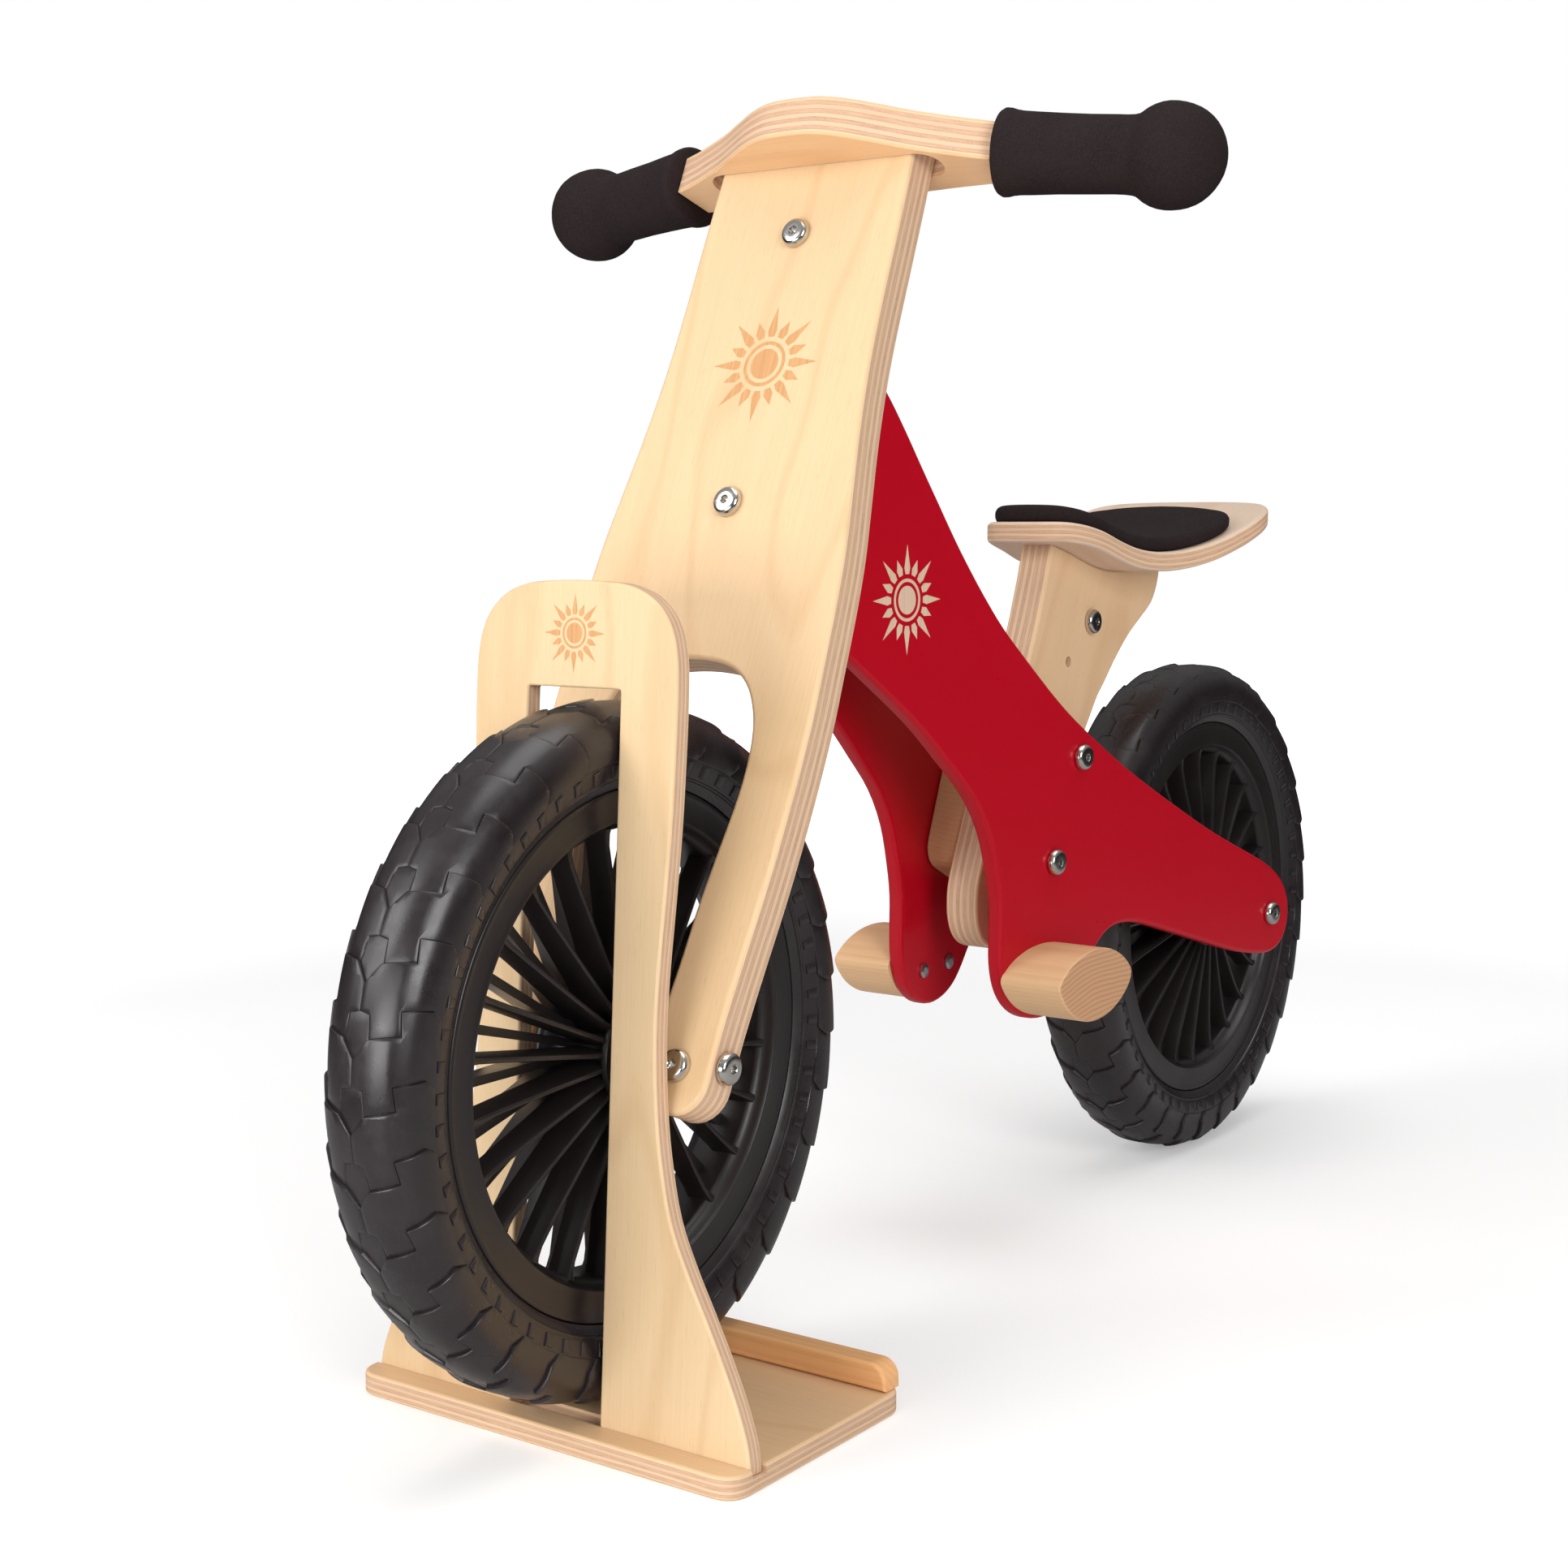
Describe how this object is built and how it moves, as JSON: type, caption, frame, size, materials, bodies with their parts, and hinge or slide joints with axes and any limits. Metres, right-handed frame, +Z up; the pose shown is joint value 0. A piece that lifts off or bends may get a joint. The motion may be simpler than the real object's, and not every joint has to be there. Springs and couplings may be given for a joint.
{
  "type": "balance bike",
  "caption": "Wooden balance bike with a slotted fork plate, red side plates, bent saddle, foam grips and spoked wheels, parked in a plywood wheel stand.",
  "frame": {"origin": "on the floor, under the middle of the whole assembly's bounding box", "axes": "+X is the rider's left, -Y is forward, +Z is up"},
  "size_m": [0.3758, 0.8558, 0.5775],
  "materials": {
    "stand_base": "clear satin birch plywood, layered edge",
    "stand_upright": "clear satin birch plywood, layered edge",
    "stand_stop_bar": "clear satin solid wood",
    "fork_plate": "clear satin birch plywood, layered edge",
    "handlebar": "clear satin birch plywood, layered edge",
    "grips": "matt black foam",
    "bolts": "bright plated",
    "screws": "bright zinc",
    "eye_brackets": "bright zinc",
    "pivot_rod": "bright zinc",
    "spacers": "black",
    "tyres": "satin black foamed rubber",
    "rims": "satin black",
    "hub_sleeves": "bright zinc",
    "frame_plates": "gloss red lacquer on plywood",
    "head_block": "clear satin solid wood",
    "seat_post": "clear satin birch plywood, layered edge",
    "seat_blocks": "clear satin solid wood",
    "saddle_board": "clear satin bent plywood, layered edge",
    "saddle_pad": "matt black foam",
    "foot_pegs": "clear satin solid wood"
  },
  "bodies": {
    "stand": {"stand_base": "stand_base", "stand_upright": "stand_upright", "stand_stop_bar": "stand_stop_bar", "stand_screw_upright_left": "screws", "stand_screw_upright_right": "screws", "stand_screw_bar_left": "screws", "stand_screw_bar_right": "screws"},
    "fork": {"fork_plate": "fork_plate", "handlebar": "handlebar", "grip_left": "grips", "grip_right": "grips", "head_bolt_upper": "bolts", "head_bolt_lower": "bolts", "eye_bracket_upper": "eye_brackets", "eye_bracket_lower": "eye_brackets", "pivot_rod": "pivot_rod", "front_axle": "bolts", "front_spacer_left": "spacers", "front_spacer_right": "spacers", "prong_bolt_left": "bolts", "prong_bolt_right": "bolts"},
    "front_wheel": {"front_tyre": "tyres", "front_rim": "rims", "front_hub_sleeve": "hub_sleeves"},
    "frame": {"frame_plate_left": "frame_plates", "frame_plate_right": "frame_plates", "head_block": "head_block", "seat_post": "seat_post", "seat_block_left": "seat_blocks", "seat_block_right": "seat_blocks", "saddle_board": "saddle_board", "saddle_pad": "saddle_pad", "saddle_bolt": "bolts", "saddle_screw_front": "screws", "saddle_screw_rear": "screws", "frame_bolt_lower": "bolts", "frame_bolt_upper": "bolts", "rear_axle": "bolts", "rear_spacer_left": "spacers", "rear_spacer_right": "spacers", "foot_peg_left": "foot_pegs", "foot_peg_right": "foot_pegs", "peg_screw_left_front": "screws", "peg_screw_left_rear": "screws", "peg_screw_right_front": "screws", "peg_screw_right_rear": "screws"},
    "rear_wheel": {"rear_tyre": "tyres", "rear_rim": "rims", "rear_hub_sleeve": "hub_sleeves"}
  },
  "joints": [
    {"name": "lift_out", "type": "slide", "parent": "stand", "child": "fork", "axis": [0, 0.9397, 0.342], "range_m": [0, 0.18]},
    {"name": "front_wheel_spin", "type": "hinge", "parent": "fork", "child": "front_wheel", "pos_m": [0, -0.278, 0.1604], "axis": [1, 0, 0], "continuous": true},
    {"name": "steer", "type": "hinge", "parent": "fork", "child": "frame", "pos_m": [0, -0.1544, 0.37882], "axis": [0, 0.3923, 0.9198], "range_deg": [-30, 30]},
    {"name": "rear_wheel_spin", "type": "hinge", "parent": "frame", "child": "rear_wheel", "pos_m": [0, 0.278, 0.15], "axis": [1, 0, 0], "continuous": true}
  ]
}
